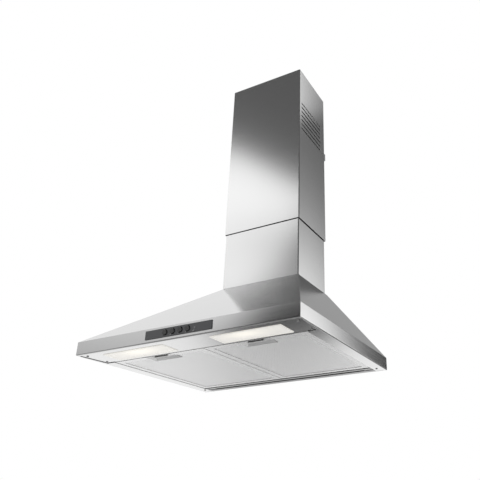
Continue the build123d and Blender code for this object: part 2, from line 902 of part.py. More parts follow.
def scroll_outline(margin):
    """Edges of the volute: three quarter arcs, each a step larger, then the outlet."""
    radii = [scroll_start + quarter * scroll_step + margin for quarter in range(3)]
    roof = scroll_centres[0][1] + radii[0]
    back = scroll_centres[2][0] + radii[2]
    with BuildLine() as outline:
        for centre, radius, start in zip(scroll_centres, radii, (90, 180, 270)):
            CenterArc(centre, radius, start, 90)
        Polyline(
            (back, scroll_centres[2][1]),
            (back, housing_top),
            (scroll_nose - margin, housing_top),
            (scroll_nose - margin, roof),
            (scroll_centres[0][0], roof),
        )
    return outline.edges()


def joint_screw_places():
    """Places on the joint flange, half way along each arc and beside the outlet."""
    reach = scroll_rim / 2
    places = []
    for quarter, angle in enumerate((135, 225, 315)):
        radius = scroll_start + quarter * scroll_step + reach
        centre = scroll_centres[quarter]
        places.append(
            (
                centre[0] + radius * cos(radians(angle)),
                centre[1] + radius * sin(radians(angle)),
            )
        )
    roof = scroll_centres[0][1] + scroll_start
    places.append((scroll_nose - 2 * reach, roof + reach))
    return places


def housing_half(side):
    """One half of the scroll, with its inlet's lip and half of the joint's flange."""
    inner = scroll_half - scroll_wall
    with BuildPart() as half:
        with BuildSketch(Plane.YZ):
            make_face(scroll_outline(0))
        extrude(amount=side * scroll_half)
        with BuildSketch(Plane.YZ):
            make_face(scroll_outline(scroll_rim))
            with Locations((-housing_back, 0)):
                Rectangle(
                    2 * scroll_rim,
                    2 * housing_top,
                    align=(Align.MIN, Align.CENTER),
                    mode=Mode.SUBTRACT,
                )
        extrude(amount=side * scroll_rim_sheet)
        with BuildSketch(Plane.YZ):
            make_face(scroll_outline(-scroll_wall))
        extrude(amount=side * inner, mode=Mode.SUBTRACT)
        with BuildSketch(shaft_plane.offset(side * scroll_half)):
            Circle(inlet_radius + scroll_wall)
        extrude(amount=-side * (scroll_wall + inlet_lip))
        with BuildSketch(shaft_plane.offset(side * scroll_half)):
            Circle(inlet_radius)
        extrude(amount=-side * (scroll_wall + inlet_lip), mode=Mode.SUBTRACT)
        with BuildSketch(Plane.YZ):
            with Locations(*joint_screw_places()):
                Circle(small_screw + slide_gap)
        extrude(amount=side * scroll_rim_sheet, mode=Mode.SUBTRACT)
        with Locations(*bracket_screw_planes(side)):
            Hole(small_screw + slide_gap, depth=scroll_wall)
        with BuildSketch(shaft_plane.offset(side * scroll_half)):
            with Locations(*inlet_screw_places()):
                Circle(small_screw + slide_gap)
        extrude(amount=-side * scroll_wall, mode=Mode.SUBTRACT)
    return half


def inlet_screw_places():
    """Three screws around an inlet, in the shaft plane's own axes."""
    return [
        (inlet_screw_radius * cos(radians(angle)), inlet_screw_radius * sin(radians(angle)))
        for angle in (90, 210, 330)
    ]


def bracket_screw_planes(side):
    """Where the bracket's screws enter the housing's back wall, pointing out of it."""
    middle = bracket_low + bracket_height / 2
    return [
        Plane((side * bracket_screw_offset, -housing_back, middle + rise), z_dir=(0, 1, 0))
        for rise in (-bracket_screw_pitch / 2, bracket_screw_pitch / 2)
    ]


def blade_face():
    """One forward-curved blade between the wheel's inner and outer radius."""
    inner = wheel_radius - blade_depth + blade_sheet / 2
    outer = wheel_radius - blade_sheet / 2
    lead = radians(blade_lead)
    tip = (outer * cos(lead), outer * sin(lead))
    with BuildLine() as outline:
        front = RadiusArc((inner, blade_sheet / 2), tip, blade_arc_radius)
        back = RadiusArc(
            (inner, -blade_sheet / 2), (tip[0], tip[1] - blade_sheet), blade_arc_radius
        )
        Line(front @ 1, back @ 1)
        Line(front @ 0, back @ 0)
    return make_face(outline.edges(), mode=Mode.PRIVATE)


for side, word in ((-1, "left"), (1, "right")):
    save(housing_half(side), f"blower_housing_{word}")

blade = blade_face()
with BuildPart() as impeller:
    with BuildSketch(shaft_plane.offset(-wheel_half)):
        with PolarLocations(0, blade_count):
            add(blade)
    extrude(amount=wheel_width)
    with BuildSketch(shaft_plane.offset(-wheel_disc / 2)):
        Circle(wheel_radius)
    extrude(amount=wheel_disc)
    for end in (-wheel_half, wheel_half - wheel_ring):
        with BuildSketch(shaft_plane.offset(end)):
            Circle(wheel_radius)
            Circle(wheel_radius - blade_depth, mode=Mode.SUBTRACT)
        extrude(amount=wheel_ring)
    with BuildSketch(shaft_plane.offset(-hub_length / 2)):
        Circle(hub_radius)
    extrude(amount=hub_length)
    with BuildSketch(shaft_plane.offset(-hub_length / 2)):
        Circle(shaft_radius + press_gap)
    extrude(amount=hub_length, mode=Mode.SUBTRACT)
save(impeller, "impeller")

motor_front = hub_length / 2 + hub_to_motor
shaft_start = -hub_length / 2 - shaft_overhang

with BuildPart() as motor_shaft:
    with BuildSketch(shaft_plane.offset(shaft_start)):
        Circle(shaft_radius)
    extrude(amount=scroll_half - shaft_end_gap - shaft_start)
    chamfer(motor_shaft.edges().filter_by(GeomType.CIRCLE), shaft_radius / 8)
save(motor_shaft, "motor_shaft")

with BuildPart() as motor:
    with BuildSketch(shaft_plane.offset(motor_front)):
        Circle(motor_radius)
    extrude(amount=scroll_half - motor_front)
    chamfer(motor.edges().filter_by(GeomType.CIRCLE), motor_edge)
    # cooling slots around both ends of the can
    for end, step in ((motor_front, 1), (scroll_half, -1)):
        with BuildSketch(shaft_plane.offset(end)):
            with PolarLocations(motor_slot_ring, motor_slots):
                Rectangle(motor_slot_length, motor_slot_width)
        extrude(amount=step * motor_slot_width, mode=Mode.SUBTRACT)
    with BuildSketch(shaft_plane.offset(motor_front)):
        Circle(shaft_radius + shaft_gap)
    extrude(amount=scroll_half - motor_front - shaft_end_gap + seam, mode=Mode.SUBTRACT)
save(motor, "motor")


with BuildPart() as motor_bracket:
    with BuildSketch(shaft_plane.offset(scroll_half)):
        Circle(motor_plate_radius)
        with PolarLocations(0, 3, start_angle=90):
            Rectangle(
                motor_arm_reach, motor_arm_width, align=(Align.MIN, Align.CENTER)
            )
        Circle(motor_plate_hole, mode=Mode.SUBTRACT)
        with Locations(*inlet_screw_places()):
            Circle(small_screw + slide_gap, mode=Mode.SUBTRACT)
    extrude(amount=motor_arm_sheet)
save(motor_bracket, "motor_bracket")

with BuildPart() as inlet_guard:
    with BuildSketch(shaft_plane.offset(-scroll_half)):
        guard_outer = inlet_radius + scroll_wall + 2 * guard_ring
        guard_step = (guard_outer - hub_radius) / guard_rings
        for ring in range(guard_rings + 1):
            Circle(guard_outer - ring * guard_step)
            Circle(guard_outer - ring * guard_step - guard_ring, mode=Mode.SUBTRACT)
        with PolarLocations(hub_radius - guard_ring, guard_spokes):
            Rectangle(
                guard_outer - hub_radius,
                guard_ring,
                align=(Align.MIN, Align.CENTER),
            )
        with Locations(*inlet_screw_places()):
            Circle(2 * guard_ring)
            Circle(small_screw + slide_gap, mode=Mode.SUBTRACT)
    extrude(amount=-guard_sheet)
save(inlet_guard, "inlet_guard")

# Blower bracket
with BuildPart() as blower_bracket:
    with BuildSketch(Plane.XY.offset(bracket_low)):
        corner_rectangle((-bracket_leg, -housing_back), (bracket_leg, plate - housing_back))
        for side in (-1, 1):
            with Locations((side * bracket_leg, -housing_back)):
                Rectangle(
                    plate,
                    housing_back - plate,
                    align=(Align.MAX if side > 0 else Align.MIN, Align.MIN),
                )
            with Locations((side * (bracket_leg - plate), -2 * plate)):
                Rectangle(
                    bracket_foot,
                    plate,
                    align=(Align.MIN if side > 0 else Align.MAX, Align.MIN),
                )
    extrude(amount=bracket_height)
    with Locations(*bracket_screw_planes(-1), *bracket_screw_planes(1)):
        with Locations((0, 0, plate)):
            Hole(small_screw + slide_gap, depth=plate)
    with BuildSketch(Plane.XZ.offset(2 * plate)):
        with Locations((0, bracket_low + bracket_height / 2)):
            with GridLocations(foot_screw_spacing, bracket_screw_pitch, 2, 2):
                Circle(large_screw + slide_gap)
    extrude(amount=-plate, mode=Mode.SUBTRACT)
save(blower_bracket, "blower_bracket")

# Outlet
outlet_front = -scroll_nose
collar_inner = collar_radius - adapter_wall


def duct_sections(margin):
    """The housing's rectangular outlet and the round collar, taken in by a margin."""
    half = scroll_half - margin
    with BuildSketch(Plane.XY.offset(housing_top)) as foot:
        wall_rectangle(2 * half, outlet_front - margin, housing_back + margin)
    with BuildSketch(Plane.XY.offset(collar_foot)) as head:
        with Locations((0, -outlet_middle)):
            Circle(collar_radius - margin)
    return [foot.sketch, head.sketch]


with BuildPart() as outlet_adapter:
    with BuildSketch(Plane.XY.offset(housing_top)):
        wall_rectangle(
            2 * (scroll_half + adapter_flange),
            outlet_front + adapter_flange,
            housing_back - adapter_flange,
        )
    extrude(amount=adapter_wall)
    loft(duct_sections(0))
    loft(duct_sections(adapter_wall), mode=Mode.SUBTRACT)
    with BuildSketch(Plane.XY.offset(collar_foot)):
        with Locations((0, -outlet_middle)):
            Circle(collar_radius)
            Circle(collar_inner, mode=Mode.SUBTRACT)
    extrude(amount=collar_height)
    # ledge on which the closed flaps lie
    with BuildSketch(Plane.XY.offset(flap_axis - flap_sheet / 2 - rest_gap)):
        with Locations((0, -outlet_middle)):
            Circle(collar_inner)
            Circle(collar_inner - flap_ledge, mode=Mode.SUBTRACT)
    extrude(amount=-adapter_wall)
    # sockets for the flaps' pin
    with Locations((0, -outlet_middle, flap_axis)):
        Cylinder(
            flap_pin_radius + slide_gap,
            2 * collar_radius - adapter_wall,
            rotation=(0, 90, 0),
            mode=Mode.SUBTRACT,
        )
save(outlet_adapter, "outlet_adapter")

with BuildPart() as flap_pin:
    with Locations((0, -outlet_middle, flap_axis)):
        Cylinder(
            flap_pin_radius, 2 * collar_radius - adapter_wall - seam, rotation=(0, 90, 0)
        )
save(flap_pin, "flap_pin")


def flap(side, knuckle_place):
    """A half disc that swings about the pin on two knuckles."""
    plate_edge = knuckle_radius + rest_gap
    with BuildPart() as leaf:
        with BuildSketch(Plane.XY.offset(flap_axis - flap_sheet / 2)):
            with Locations((0, -outlet_middle)):
                Circle(collar_inner - 2 * rest_gap)
            with Locations((0, -outlet_middle + side * plate_edge)):
                Rectangle(
                    2 * collar_radius,
                    2 * collar_radius,
                    align=(Align.CENTER, Align.MAX if side > 0 else Align.MIN),
                    mode=Mode.SUBTRACT,
                )
            with Locations((0, -outlet_middle)):
                with GridLocations(2 * knuckle_place, 0, 2, 1):
                    Rectangle(
                        knuckle_length,
                        plate_edge + flap_sheet,
                        align=(Align.CENTER, Align.MIN if side > 0 else Align.MAX),
                    )
        extrude(amount=flap_sheet)
        with Locations((0, -outlet_middle, flap_axis)):
            with GridLocations(2 * knuckle_place, 0, 2, 1):
                Cylinder(knuckle_radius, knuckle_length, rotation=(0, 90, 0))
                Cylinder(
                    flap_pin_radius + slide_gap,
                    knuckle_length,
                    rotation=(0, 90, 0),
                    mode=Mode.SUBTRACT,
                )
    return leaf


save(flap(-1, knuckle_inner), "flap_front")
save(flap(1, knuckle_outer), "flap_back")

# Electrics
terminal_front = plate + terminal_depth
gland_middle = (-gland_offset, -gland_setback)

with BuildPart() as terminal_box:
    with BuildSketch(Plane.XZ.offset(plate)):
        with Locations((-terminal_offset, terminal_low + terminal_height / 2)):
            RectangleRounded(terminal_width, terminal_height, 2 * terminal_wall)
    extrude(amount=terminal_depth - terminal_wall)
    with BuildSketch(Plane.XZ.offset(plate + terminal_wall)):
        with Locations((-terminal_offset, terminal_low + terminal_height / 2)):
            RectangleRounded(
                terminal_width - 2 * terminal_wall,
                terminal_height - 2 * terminal_wall,
                terminal_wall,
            )
    extrude(amount=terminal_depth, mode=Mode.SUBTRACT)
    with BuildSketch(Plane.XY.offset(terminal_low + terminal_height)):
        with Locations(gland_middle):
            Circle(gland_bore + seam)
    extrude(amount=-terminal_wall, mode=Mode.SUBTRACT)
save(terminal_box, "terminal_box")

with BuildPart() as terminal_lid:
    with BuildSketch(Plane.XZ.offset(terminal_front - terminal_wall)):
        with Locations((-terminal_offset, terminal_low + terminal_height / 2)):
            RectangleRounded(terminal_width, terminal_height, 2 * terminal_wall)
    extrude(amount=terminal_wall)
    chamfer(terminal_lid.faces().sort_by(Axis.Y)[0].edges(), terminal_wall / 2)
save(terminal_lid, "terminal_lid")

with BuildPart() as cable_gland:
    with BuildSketch(Plane.XY.offset(terminal_low + terminal_height)):
        with Locations(gland_middle):
            RegularPolygon(gland_nut_radius, 6)
    extrude(amount=gland_nut_height)
    with BuildSketch(Plane.XY.offset(terminal_low + terminal_height)):
        with Locations(gland_middle):
            Circle(gland_radius)
    extrude(amount=gland_height)
    chamfer(cable_gland.faces().sort_by(Axis.Z)[-1].edges(), gland_radius / 4)
    with BuildSketch(Plane.XY.offset(terminal_low + terminal_height)):
        with Locations(gland_middle):
            Circle(gland_bore)
    extrude(amount=gland_height, mode=Mode.SUBTRACT)
save(cable_gland, "cable_gland")

capacitor_axis = (capacitor_offset, -plate - clip_sheet - capacitor_radius - slide_gap)
with BuildPart() as capacitor:
    with BuildSketch(Plane.XY.offset(capacitor_low)):
        with Locations(capacitor_axis):
            Circle(capacitor_radius)
    extrude(amount=capacitor_height)
    chamfer(capacitor.edges().filter_by(GeomType.CIRCLE), capacitor_radius / 10)
    with BuildSketch(Plane.XY.offset(capacitor_low + capacitor_height)):
        with Locations(capacitor_axis):
            with GridLocations(tab_spacing, 0, 2, 1):
                Rectangle(tab_sheet, tab_width)
    extrude(amount=tab_length)
save(capacitor, "capacitor")

with BuildPart() as capacitor_clip:
    clip_inner = capacitor_radius + slide_gap
    with BuildSketch(Plane.XY.offset(capacitor_low + (capacitor_height - clip_height) / 2)):
        with Locations(capacitor_axis):
            Circle(clip_inner + clip_sheet)
            Circle(clip_inner, mode=Mode.SUBTRACT)
            with Locations((0, -clip_mouth)):
                Rectangle(
                    2 * (clip_inner + clip_sheet),
                    clip_inner,
                    align=(Align.CENTER, Align.MAX),
                    mode=Mode.SUBTRACT,
                )
        with Locations((capacitor_offset, -plate)):
            Rectangle(capacitor_radius, clip_sheet, align=(Align.CENTER, Align.MAX))
    extrude(amount=clip_height)
save(capacitor_clip, "capacitor_clip")


# Chimney
def channel(width, front, back):
    """Section of a folded channel, open at the wall side between two returns."""
    depth = front - back
    with Locations((0, -(front + back) / 2)):
        RectangleRounded(width, depth, bend_radius)
        RectangleRounded(
            width - 2 * sheet, depth - 2 * sheet, bend_radius - sheet, mode=Mode.SUBTRACT
        )
    wall_rectangle(width - 2 * chimney_return, back + sheet, back, Mode.SUBTRACT)


with BuildPart() as lower_chimney:
    with BuildSketch(Plane.XY.offset(canopy_top)):
        channel(lower_width, top_depth, lower_standoff)
    extrude(amount=lower_length)
    # feet, folded in on the canopy's top flange
    with BuildSketch(Plane.XY.offset(canopy_top)):
        foot_length = lower_depth - chimney_return
        with Locations((0, -outlet_middle)):
            with GridLocations(lower_width - foot_width, 0, 2, 1):
                Rectangle(foot_width, foot_length)
    extrude(amount=sheet)
    with Locations((0, -outlet_middle, canopy_top + sheet)):
        with GridLocations(
            lower_width - top_flange, lower_depth - 2 * chimney_return, 2, 2
        ):
            Hole(small_screw + slide_gap, depth=sheet)
save(lower_chimney, "lower_chimney")


def guide_section(place, outward):
    """Section of a clip over the lower section's top edge, thicker on the outside."""
    edge = Vector(*place, canopy_top + lower_length)
    inside = -sheet - guide_wall
    with BuildSketch(Plane(edge, x_dir=outward, z_dir=outward.cross(Vector(0, 0, 1)))) as section:
        corner_rectangle((inside, -guide_height), (telescope_gap - rest_gap, guide_wall))
        corner_rectangle((-sheet, -guide_height), (0, 0), Mode.SUBTRACT)
    return section.sketch


with BuildPart() as chimney_guides:
    for side in (-1, 1):
        for setback in (guide_inset, guide_inset + guide_pitch):
            place = (side * lower_width / 2, setback - top_depth)
            clip = guide_section(place, Vector(side, 0, 0))
            extrude(clip, amount=guide_width / 2, both=True)
        place = (side * (lower_width / 2 - guide_inset), -top_depth)
        clip = guide_section(place, Vector(0, -1, 0))
        extrude(clip, amount=guide_width / 2, both=True)
save(chimney_guides, "chimney_guides")

with BuildPart() as upper_chimney:
    with BuildSketch(Plane.XY.offset(upper_bottom)):
        channel(upper_width, upper_front, upper_standoff)
    extrude(amount=upper_length)
    # vent slots through both sides
    with BuildSketch(Plane.YZ):
        with Locations((-upper_front + vent_setback + vent_length / 2, vent_middle)):
            with GridLocations(0, vent_pitch, 1, vent_count):
                SlotOverall(vent_length, vent_height)
    extrude(amount=upper_width, both=True, mode=Mode.SUBTRACT)
    # side screws, and notches in the rear folds for the bracket's ears
    with BuildSketch(Plane.YZ):
        with Locations((-ear_screw_setback, strap_middle)):
            Circle(small_screw + slide_gap)
    extrude(amount=upper_width, both=True, mode=Mode.SUBTRACT)
    with BuildSketch(Plane.XY.offset(strap_middle - strap_height / 2 - sheet)):
        with Locations((0, -upper_standoff - bend_radius / 2)):
            notch = ear_sheet + 2 * seam
            with GridLocations(upper_width - 2 * sheet - notch, 0, 2, 1):
                Rectangle(notch, bend_radius)
    extrude(amount=strap_height + 2 * sheet, mode=Mode.SUBTRACT)
save(upper_chimney, "upper_chimney")

strap_width = upper_width - 2 * sheet - 2 * slide_gap
with BuildPart() as chimney_bracket:
    with BuildSketch(Plane.XY.offset(strap_middle - strap_height / 2)):
        wall_rectangle(strap_width, strap_sheet, 0)
        with Locations((0, -ear_depth / 2)):
            with GridLocations(strap_width - ear_sheet, 0, 2, 1):
                Rectangle(ear_sheet, ear_depth)
    extrude(amount=strap_height)
    with BuildSketch(Plane.XZ):
        with Locations((0, strap_middle)):
            with GridLocations(wall_screw_spacing, 0, 2, 1):
                Circle(wall_screw_hole / 2)
    extrude(amount=strap_sheet, mode=Mode.SUBTRACT)
    with BuildSketch(Plane.YZ):
        with Locations((-ear_screw_setback, strap_middle)):
            Circle(small_screw + slide_gap)
    extrude(amount=upper_width, both=True, mode=Mode.SUBTRACT)
save(chimney_bracket, "chimney_bracket")

# Vent shields, each hung on the strap by the same wall screw
shield_side = upper_width / 2 - shield_inset
shield_front = upper_front - sheet - shield_gap
with BuildPart() as vent_shields:
    for side in (-1, 1):
        with BuildSketch(Plane.XY.offset(shield_low)):
            leg_end = side * (shield_side + shield_wall - shield_leg)
            Polygon(
                (side * shield_side, -shield_front),
                (side * (shield_side + shield_wall), -shield_front),
                (side * (shield_side + shield_wall), -shield_setback),
                (leg_end, -shield_setback),
                (leg_end, -shield_setback - shield_wall),
                (side * shield_side, -shield_setback - shield_wall),
                align=None,
            )
        extrude(amount=shield_height)
    # feet against the strap, bored for the wall screws
    foot_length = shield_setback + shield_wall - strap_sheet
    with BuildSketch(Plane.XZ.offset(strap_sheet)):
        with Locations((0, strap_middle)):
            with GridLocations(wall_screw_spacing, 0, 2, 1):
                Rectangle(shield_foot_width, shield_foot_height)
    extrude(amount=foot_length)
    with BuildSketch(Plane.XZ.offset(strap_sheet)):
        with Locations((0, strap_middle)):
            with GridLocations(wall_screw_spacing, 0, 2, 1):
                Circle(wall_screw_hole / 2)
    extrude(amount=foot_length, mode=Mode.SUBTRACT)
save(vent_shields, "vent_shields")

# Fasteners
with BuildPart() as panel_screws:
    with Locations((0, -canopy_depth + panel_screw_front + panel_screw_pitch / 2, panel_rise)):
        with GridLocations(
            canopy_width - 2 * panel_screw_inset, panel_screw_pitch, 2, 2
        ):
            pan_screw(small_screw, sheet + plate + seam)
save(panel_screws, "panel_screws")

with BuildPart() as rail_screws:
    with Locations((0, -rail_screw_setback, 0)):
        with GridLocations(canopy_width - 2 * rail_screw_inset, 0, 2, 1):
            pan_screw(small_screw, 2 * sheet + seam)
save(rail_screws, "rail_screws")

with BuildPart() as chimney_foot_screws:
    with Locations(Plane((0, -outlet_middle, canopy_top + sheet), z_dir=(0, 0, -1))):
        with GridLocations(
            lower_width - top_flange, lower_depth - 2 * chimney_return, 2, 2
        ):
            pan_screw(small_screw, 2 * sheet + seam)
save(chimney_foot_screws, "chimney_foot_screws")

with BuildPart() as chimney_side_screws:
    for side in (-1, 1):
        spot = (side * upper_width / 2, -ear_screw_setback, strap_middle)
        with Locations(Plane(spot, z_dir=(-side, 0, 0))):
            pan_screw(small_screw, sheet + slide_gap + ear_sheet)
save(chimney_side_screws, "chimney_side_screws")

with BuildPart() as housing_screws:
    for place in joint_screw_places():
        spot = (-scroll_rim_sheet, *place)
        with Locations(Plane(spot, z_dir=(1, 0, 0))):
            pan_screw(small_screw, 2 * scroll_rim_sheet)
save(housing_screws, "housing_screws")

with BuildPart() as blower_screws:
    for side in (-1, 1):
        for spot in bracket_screw_planes(side):
            with Locations(Plane(spot.origin + Vector(0, plate, 0), z_dir=(0, -1, 0))):
                pan_screw(small_screw, plate + scroll_wall)
    feet = (0, -2 * plate, bracket_low + bracket_height / 2)
    with Locations(Plane(feet, x_dir=(1, 0, 0), z_dir=(0, 1, 0))):
        with GridLocations(foot_screw_spacing, bracket_screw_pitch, 2, 2):
            pan_screw(large_screw, 2 * plate - slide_gap)
save(blower_screws, "blower_screws")


def inlet_screws(side, thickness):
    """Three screws driven into a side wall through a piece of this thickness."""
    with BuildPart() as screws:
        for y_place, z_place in inlet_screw_places():
            spot = (
                side * (scroll_half + thickness),
                -blower_setback + y_place,
                blower_height + z_place,
            )
            with Locations(Plane(spot, z_dir=(-side, 0, 0))):
                pan_screw(small_screw, thickness + scroll_wall)
    return screws


save(inlet_screws(-1, guard_sheet), "guard_screws")
save(inlet_screws(1, motor_arm_sheet), "motor_screws")
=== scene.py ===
import math

import bpy
import numpy as np
from mathutils import Matrix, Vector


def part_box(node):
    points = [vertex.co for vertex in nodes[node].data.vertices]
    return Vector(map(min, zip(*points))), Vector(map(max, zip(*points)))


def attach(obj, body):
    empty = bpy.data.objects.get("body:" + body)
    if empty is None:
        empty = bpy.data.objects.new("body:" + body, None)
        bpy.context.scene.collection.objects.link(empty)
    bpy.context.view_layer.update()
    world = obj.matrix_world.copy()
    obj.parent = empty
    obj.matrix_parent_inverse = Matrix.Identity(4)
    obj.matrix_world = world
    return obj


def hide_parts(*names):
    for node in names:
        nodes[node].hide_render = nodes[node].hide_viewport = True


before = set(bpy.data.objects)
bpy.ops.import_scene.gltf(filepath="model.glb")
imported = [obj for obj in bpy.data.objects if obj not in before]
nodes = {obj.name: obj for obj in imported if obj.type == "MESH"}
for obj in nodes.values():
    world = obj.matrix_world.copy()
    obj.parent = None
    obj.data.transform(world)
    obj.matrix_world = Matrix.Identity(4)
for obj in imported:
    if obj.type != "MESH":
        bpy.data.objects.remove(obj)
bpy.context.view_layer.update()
print("frame loaded:", len(nodes), "nodes")

mm = 0.001  # sizes below are in millimetres, and noise scales are per metre
degrees = 180 / math.pi


# A wire is one output socket, and maths on wires adds Math nodes.
class Wire:
    def __init__(self, finish, socket):
        self.finish = finish
        self.socket = socket

    def maths(self, operation, first, second=0.0):
        return self.finish.node(
            "ShaderNodeMath", {"operation": operation}, {0: first, 1: second}
        )

    def __add__(self, other):
        return self.maths("ADD", self, other)

    def __radd__(self, other):
        return self.maths("ADD", other, self)

    def __sub__(self, other):
        return self.maths("SUBTRACT", self, other)

    def __rsub__(self, other):
        return self.maths("SUBTRACT", other, self)

    def __mul__(self, other):
        return self.maths("MULTIPLY", self, other)

    def __rmul__(self, other):
        return self.maths("MULTIPLY", other, self)

    def __truediv__(self, other):
        return self.maths("DIVIDE", self, other)

    def __neg__(self):
        return self.maths("MULTIPLY", self, -1.0)

    def absolute(self):
        return self.maths("ABSOLUTE", self)

    def atLeast(self, least):
        return self.maths("MAXIMUM", self, least)

    def atMost(self, most):
        return self.maths("MINIMUM", self, most)

    def bell(self):  # exp(-x * x)
        return self.maths("POWER", math.e, -(self * self))

    def step(self, start, end):  # smooth climb from 0 at start to 1 at end
        settings = {"interpolation_type": "SMOOTHSTEP"}
        return self.finish.node("ShaderNodeMapRange", settings, {0: self, 1: start, 2: end})


socketNames = {
    "baseColour": "Base Color", "metallic": "Metallic", "roughness": "Roughness",
    "normal": "Normal", "coat": "Coat Weight", "emission": "Emission Color",
    "emissionStrength": "Emission Strength",
}


# The node tree of one material or world.
class Finish:
    def __init__(self, tree):
        self.tree = tree
        tree.nodes.clear()

    def node(self, kind, settings=(), inputs=(), output=0):
        made = self.tree.nodes.new(kind)
        for name, value in dict(settings).items():
            setattr(made, name, value)
        for name, value in dict(inputs).items():
            if isinstance(value, Wire):
                self.tree.links.new(value.socket, made.inputs[name])
            else:
                made.inputs[name].default_value = value
        return Wire(self, made.outputs[output] if len(made.outputs) else None)

    def place(self):
        return self.node("ShaderNodeTexCoord", output="Object")

    def split(self, vector):
        outputs = self.node("ShaderNodeSeparateXYZ", inputs={0: vector}).socket.node.outputs
        return [Wire(self, outputs[axis]) for axis in range(3)]

    def noise(self, scale, detail=2.0, stretch=(1.0, 1.0, 1.0)):
        stretched = self.node(
            "ShaderNodeVectorMath", {"operation": "MULTIPLY"}, {0: self.place(), 1: stretch}
        )
        return self.node(
            "ShaderNodeTexNoise", {"noise_dimensions": "3D"},
            {"Vector": stretched, "Scale": scale, "Detail": detail},
        )

    def tint(self, factor, first, second):
        inputs = {0: factor, 6: grey(first), 7: grey(second)}
        return self.node("ShaderNodeMix", {"data_type": "RGBA"}, inputs, 2)

    def bump(self, height, distance, normal):
        inputs = {"Height": height, "Distance": distance, "Strength": 1.0, "Normal": normal}
        return self.node("ShaderNodeBump", inputs=inputs)

    def roundedEdges(self, radius):
        return self.node("ShaderNodeBevel", {"samples": 6}, {"Radius": radius * mm})

    def surface(self, **inputs):
        named = {socketNames[name]: value for name, value in inputs.items()}
        shader = self.node("ShaderNodeBsdfPrincipled", inputs=named)
        self.node("ShaderNodeOutputMaterial", inputs={"Surface": shader})


# A shade is one number for a grey, or three for a colour.
def grey(shade):
    if isinstance(shade, (int, float)):
        return (shade, shade, shade, 1.0)
    return (*shade, 1.0)


def scaled(shade, share):
    return tuple(part * share for part in grey(shade)[:3])


def newFinish(name):
    material = bpy.data.materials.new(name)
    material.use_nodes = True
    return material, Finish(material.node_tree)


def dress(material, *names):
    for name in names:
        mesh = nodes[name].data
        mesh.materials.clear()
        mesh.materials.append(material)


steel = {
    "shade": 0.66, "shadeSpread": 0.05, "roughness": 0.14, "roughnessSpread": 0.03,
    "metallic": 1.0, "edgeRadius": 0.7, "grainLength": 6.0, "grainFine": 900.0,
    "grainDetail": 3.0, "grainHeight": 0.004, "cloudScale": 7.0, "cloudShare": 0.25,
    "levelStart": 0.85, "levelEnd": 0.95,
}
satin = {
    **steel, "roughness": 0.26, "roughnessSpread": 0.015, "shadeSpread": 0.02,
    "grainHeight": 0.0008, "metallic": 0.65, "edgeRadius": 0.2,
}


# Brushed sheet: noise drawn out along the grain, which lies level on upright faces and
# along X on level ones.
def brushedSteel(name, settings):
    material, finish = newFinish(name)
    long, fine = settings["grainLength"], settings["grainFine"]
    upright = finish.noise(1.0, settings["grainDetail"], (long, long, fine))
    level = finish.noise(1.0, settings["grainDetail"], (long, fine, long))
    facing = finish.split(finish.node("ShaderNodeNewGeometry", output="Normal"))[2].absolute()
    flatness = facing.step(settings["levelStart"], settings["levelEnd"])
    grain = upright * (1 - flatness) + level * flatness
    cloud, cloudShare = finish.noise(settings["cloudScale"]), settings["cloudShare"]
    shade, spread = settings["shade"], settings["shadeSpread"]
    mixed = grain * (1 - cloudShare) + cloud * cloudShare
    rough, roughSpread = settings["roughness"], settings["roughnessSpread"]
    edges = finish.roundedEdges(settings["edgeRadius"])
    finish.surface(
        baseColour=finish.tint(mixed, shade - spread, shade + spread),
        metallic=settings["metallic"],
        roughness=grain * (2 * roughSpread) + (rough - roughSpread),
        normal=finish.bump(grain, settings["grainHeight"] * mm, edges),
    )
    return material


faceSteel = brushedSteel("faceSteel", {**satin, "shade": 0.83, "roughness": 0.3})
dress(brushedSteel("brushedSteelSheet", steel), "canopy_shell", "lower_chimney", "upper_chimney")
dress(brushedSteel("panelSteel", {**steel, "edgeRadius": 0.25}), "light_panel",
      "panel_ledge_left", "panel_ledge_right")
# The rear rail is the same brushed steel made much darker: painted shade along the rear edge, next
# to the wall.
dress(brushedSteel("railSteelPaintedShade", {**steel, "roughness": 0.2, "shade": 0.24}), "rear_rail")
dress(brushedSteel("filterSteel", {**satin, "shade": 0.82}), "filter_frame_left",
      "filter_frame_right")
dress(brushedSteel("pocketSteel", {**satin, "shade": 0.88}), "latch_pocket_left",
      "latch_pocket_right")
print("steel finished")

galvanised = {
    "cells": 160.0, "dark": (0.42, 0.43, 0.44), "pale": (0.58, 0.59, 0.6),
    "roughness": 0.32, "roughnessSpread": 0.15, "edgeRadius": 0.4,
}


# Zinc sheet with a spangle of small cells.
def galvanisedSheet():
    material, finish = newFinish("galvanisedSheet")
    spangle = finish.node(
        "ShaderNodeTexVoronoi", {"feature": "F1", "voronoi_dimensions": "3D"},
        {"Vector": finish.place(), "Scale": galvanised["cells"]}, "Color",
    )
    shine = finish.split(spangle)[0]
    finish.surface(
        baseColour=finish.tint(shine, galvanised["dark"], galvanised["pale"]),
        metallic=1.0,
        roughness=shine * galvanised["roughnessSpread"] + galvanised["roughness"],
        normal=finish.roundedEdges(galvanised["edgeRadius"]),
    )
    return material


dress(galvanisedSheet(), "back_plate", "chimney_bracket", "blower_bracket", "motor_bracket",
      "capacitor_clip")
print("galvanised sheet finished")

plastic = {
    "speckScale": 1400.0, "speckHeight": 0.02, "cloudScale": 12.0, "shadeSpread": 0.1,
    "roughnessSpread": 0.05, "edgeRadius": 0.3,
}
